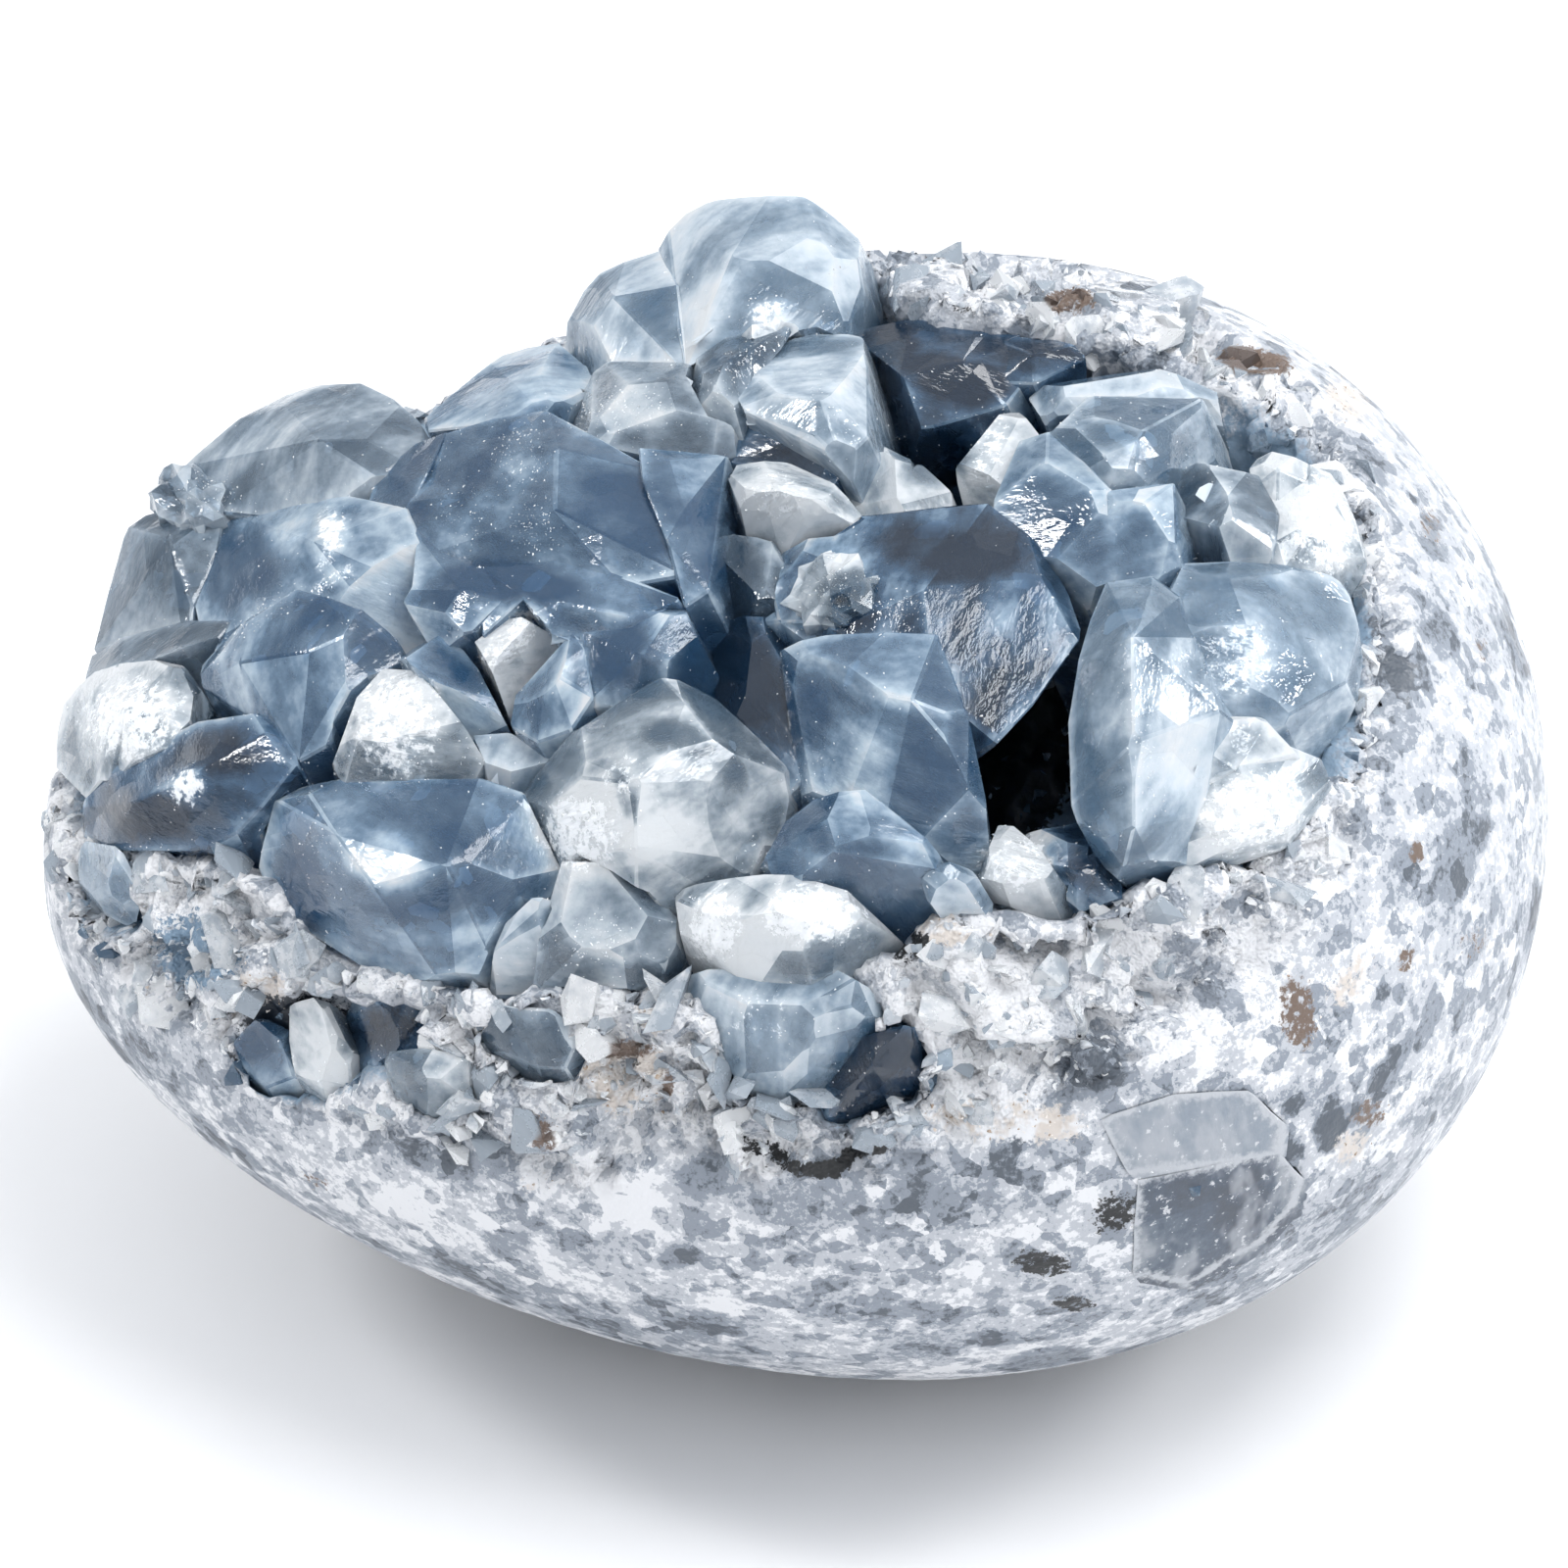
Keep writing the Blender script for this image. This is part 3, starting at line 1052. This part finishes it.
class GEODE_OT_glints(bpy.types.Operator):
    """Puts tiny bright steps on the crystals, close together where their faces are etched"""
    bl_idname = "geode.glints"
    bl_label = "Build the glints"

    def execute(self, context):
        settings = context.scene.geode_crystals
        luck = np.random.default_rng(9)
        places, outs = [], []
        crystals = [o.data for o in bpy.data.objects if o.name.endswith("_look")]
        # Most of them on glinting marks, fewer on frost and along the edges, and a few anywhere
        marks = [np.maximum(column(m, "glint"), 0.5 * column(m, "frost")) ** 1.5 + 0.012
                 + 0.12 * column(m, "ridge") ** 2 for m in crystals]
        facing = [np.maximum(0, normals(m) @ LOOK_AXES[2] + 0.3) for m in crystals]
        weights = [mark * face for mark, face in zip(marks, facing)]
        totals = np.array([w.mean() * sum(p.area for p in m.polygons) for w, m in zip(weights, crystals)])
        counts = luck.multinomial(settings.glints, totals / totals.sum())
        for mesh, weight, count in zip(crystals, weights, counts):
            if count:
                found = spots_on(mesh, weight, count, luck)
                places.append(found[0])
                outs.append(found[1])
        spots = np.concatenate(places), np.concatenate(outs)
        size = (0.05 + 0.13 * luck.random(len(spots[0])) ** 2.5) * MM
        sizes = half_sizes(size, (0.7, 1.6), (0.5, 1.0), 0.6, luck)
        shapes = shard_shapes(8, 5, random.Random(4))
        material = druse("glint_steps", "#eef3f7", "#ffffff", 0.0)
        strew("glint_steps", shapes, spots, sizes, 0.3, luck, material, "celestite_white")
        return {"FINISHED"}


class GEODE_OT_veils(bpy.types.Operator):
    """Seals thin cracks inside the crystals, where they catch the light"""
    bl_idname = "geode.veils"
    bl_label = "Build the sealed cracks"

    def execute(self, context):
        settings = context.scene.geode_crystals
        luck = np.random.default_rng(17)
        crystals = [o for o in bpy.data.objects if o.name.endswith("_look")]
        places, outs, reaches = [], [], []
        shares = np.array([max(1e-12, math.prod(o.dimensions)) ** 0.5 for o in crystals])
        counts = luck.multinomial(settings.veils, shares / shares.sum())
        for crystal, count in zip(crystals, counts):
            if not count:
                continue
            tree = BVHTree.FromObject(crystal, bpy.context.evaluated_depsgraph_get())
            facing = np.maximum(0, normals(crystal.data) @ LOOK_AXES[2])
            spots = spots_on(crystal.data, facing + 1e-6, count, luck)
            cleavage = unit(luck.normal(size=(2, 3)))
            for place, out in zip(*spots):
                middle = Vector(place - out * luck.uniform(0.5, 1.6) * MM)
                near, _, _, distance = tree.find_nearest(middle)
                # Only inside the crystal, and not too close under its face
                if near is None or distance < 0.35 * MM or (near - middle).dot(Vector(out)) < 0:
                    continue
                plane = unit((out + 0.5 * cleavage[luck.integers(0, 2)])[None])[0]
                for _ in range(luck.integers(1, 4)):
                    aside = np.cross(plane, luck.normal(size=3)) * distance * 0.4
                    places.append(np.array(middle) + aside)
                    outs.append(plane)
                    reaches.append(distance * luck.uniform(0.8, 1.8))
        reach = np.array(reaches)
        narrow = reach * luck.uniform(0.4, 0.9, len(reach))
        sizes = np.stack((reach, narrow, np.full(len(reach), 0.015 * MM)), 1)
        shapes = shard_shapes(8, 16, random.Random(6))
        spots = np.array(places), np.array(outs)
        strew("sealed_cracks", shapes, spots, sizes, 0.08, luck, sealed_crack(), "celestite_white")
        return {"FINISHED"}


def area_light(name, place, target, size, power):
    light = bpy.data.lights.new(name, "AREA")
    light.shape = "RECTANGLE"
    light.size, light.size_y = size
    light.energy = power
    obj = bpy.data.objects.new(name, light)
    obj.location = place
    obj.rotation_euler = (Vector(target) - Vector(place)).to_track_quat("-Z", "Y").to_euler()
    bpy.context.scene.collection.objects.link(obj)
    return obj


class GEODE_OT_stage(bpy.types.Operator):
    """Sets the plain pale floor, the soft light and the camera"""
    bl_idname = "geode.stage"
    bl_label = "Build the stage"

    def execute(self, context):
        scene = context.scene
        settings = scene.geode_stage
        bm = bmesh.new()
        bmesh.ops.create_grid(bm, x_segments=1, y_segments=1, size=3.0)
        mesh = bpy.data.meshes.new("floor")
        bm.to_mesh(mesh)
        bm.free()
        floor = show(mesh, "floor")
        material, add = new_material("plain_floor")
        place = add("TexCoord", out="Object")
        cloud = add("TexNoise", {
            "Vector": place, "Scale": 1 / FLOOR_CLOUDS, "Detail": 4.0, "Roughness": 0.55})
        shade = add("Mix", {0: cloud, 6: (*settings.floor_colour, 1), 7: opaque("#f2f2f3")}, out=2,
                    data_type="RGBA")
        add("OutputMaterial", {"Surface": add("BsdfPrincipled", {"Base Color": shade, "Roughness": 0.85})})
        mesh.materials.append(material)

        world = bpy.data.worlds.new("studio")
        world.use_nodes = True
        world.node_tree.nodes.clear()
        add = partial(add_node, world.node_tree)
        # The studio is brighter to the upper right, so that faces that lean apart get different tones
        side = add("VectorMath", {0: add("TexCoord", out="Generated"), 1: (0.75, -0.25, 0.6)}, out="Value",
                   operation="DOT_PRODUCT")
        glow = add("MapRange", {0: side, 1: -0.6, 2: 0.9, 3: 0.62, 4: 1.14}, interpolation_type="SMOOTHSTEP")
        background = add("Background", {"Color": opaque("#f4f7fb"), "Strength": glow})
        add("OutputWorld", {"Surface": background})
        scene.world = world
        aim = (0, 0, 45 * MM)
        lights = (
            area_light("light_top", (0.25, -0.15, 0.85), aim, (0.4, 0.4), 3.6),
            area_light("light_right", (0.7, 0.20, 0.45), aim, (0.15, 0.2), 2.0),
            area_light("light_left", (-0.6, 0.1, 0.6), aim, (0.12, 0.2), 2.0),
        )

        camera = bpy.data.cameras.new("camera")
        back = Vector(LOOK_AXES[2])
        aim = Vector(STONE_MIDDLE * MM) + Vector(LOOK_AXES[1]) * 3.2 * MM
        distance = settings.camera_distance
        camera.sensor_width = 36.0
        camera.lens = camera.sensor_width * distance / settings.view_width
        obj = bpy.data.objects.new("camera", camera)
        obj.location = aim + back * distance
        obj.rotation_euler = (-back).to_track_quat("-Z", "Y").to_euler()
        scene.collection.objects.link(obj)
        scene.camera = obj
        scene.view_settings.view_transform = "Standard"
        # As few bounces as leave the crystals clear
        scene.cycles.transmission_bounces = 5
        scene.cycles.max_bounces = 7
        scene.cycles.diffuse_bounces = 2
        scene.cycles.glossy_bounces = 2
        scene.cycles.adaptive_threshold = 0.15
        return {"FINISHED"}


class GEODE_PT_panel(bpy.types.Panel):
    """The stone's sizes and colours, and a button for each step"""
    bl_idname = "GEODE_PT_panel"
    bl_label = "Celestite geode"
    bl_space_type = "VIEW_3D"
    bl_region_type = "UI"
    bl_category = "Geode"

    def draw(self, context):
        for group, kind in SETTINGS.items():
            box = self.layout.box()
            for name in kind.__annotations__:
                box.prop(getattr(context.scene, group), name)
            box.operator(group.replace("_", ".", 1))
        self.layout.operator("geode.glints")
        self.layout.operator("geode.veils")


CLASSES = (
    *SETTINGS.values(),
    GEODE_OT_rock, GEODE_OT_crystals, GEODE_OT_druse, GEODE_OT_glints, GEODE_OT_veils, GEODE_OT_stage,
    GEODE_PT_panel,
)


def register():
    for cls in CLASSES:
        bpy.utils.register_class(cls)
    for name, kind in SETTINGS.items():
        setattr(bpy.types.Scene, name, PointerProperty(type=kind))


def unregister():
    for name in SETTINGS:
        delattr(bpy.types.Scene, name)
    for cls in reversed(CLASSES):
        bpy.utils.unregister_class(cls)


def main():
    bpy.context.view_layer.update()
    register()
    bpy.ops.geode.rock()
    bpy.ops.geode.crystals()
    bpy.ops.geode.druse()
    bpy.ops.geode.glints()
    bpy.ops.geode.veils()
    bpy.ops.geode.stage()


if __name__ == "__main__":
    main()
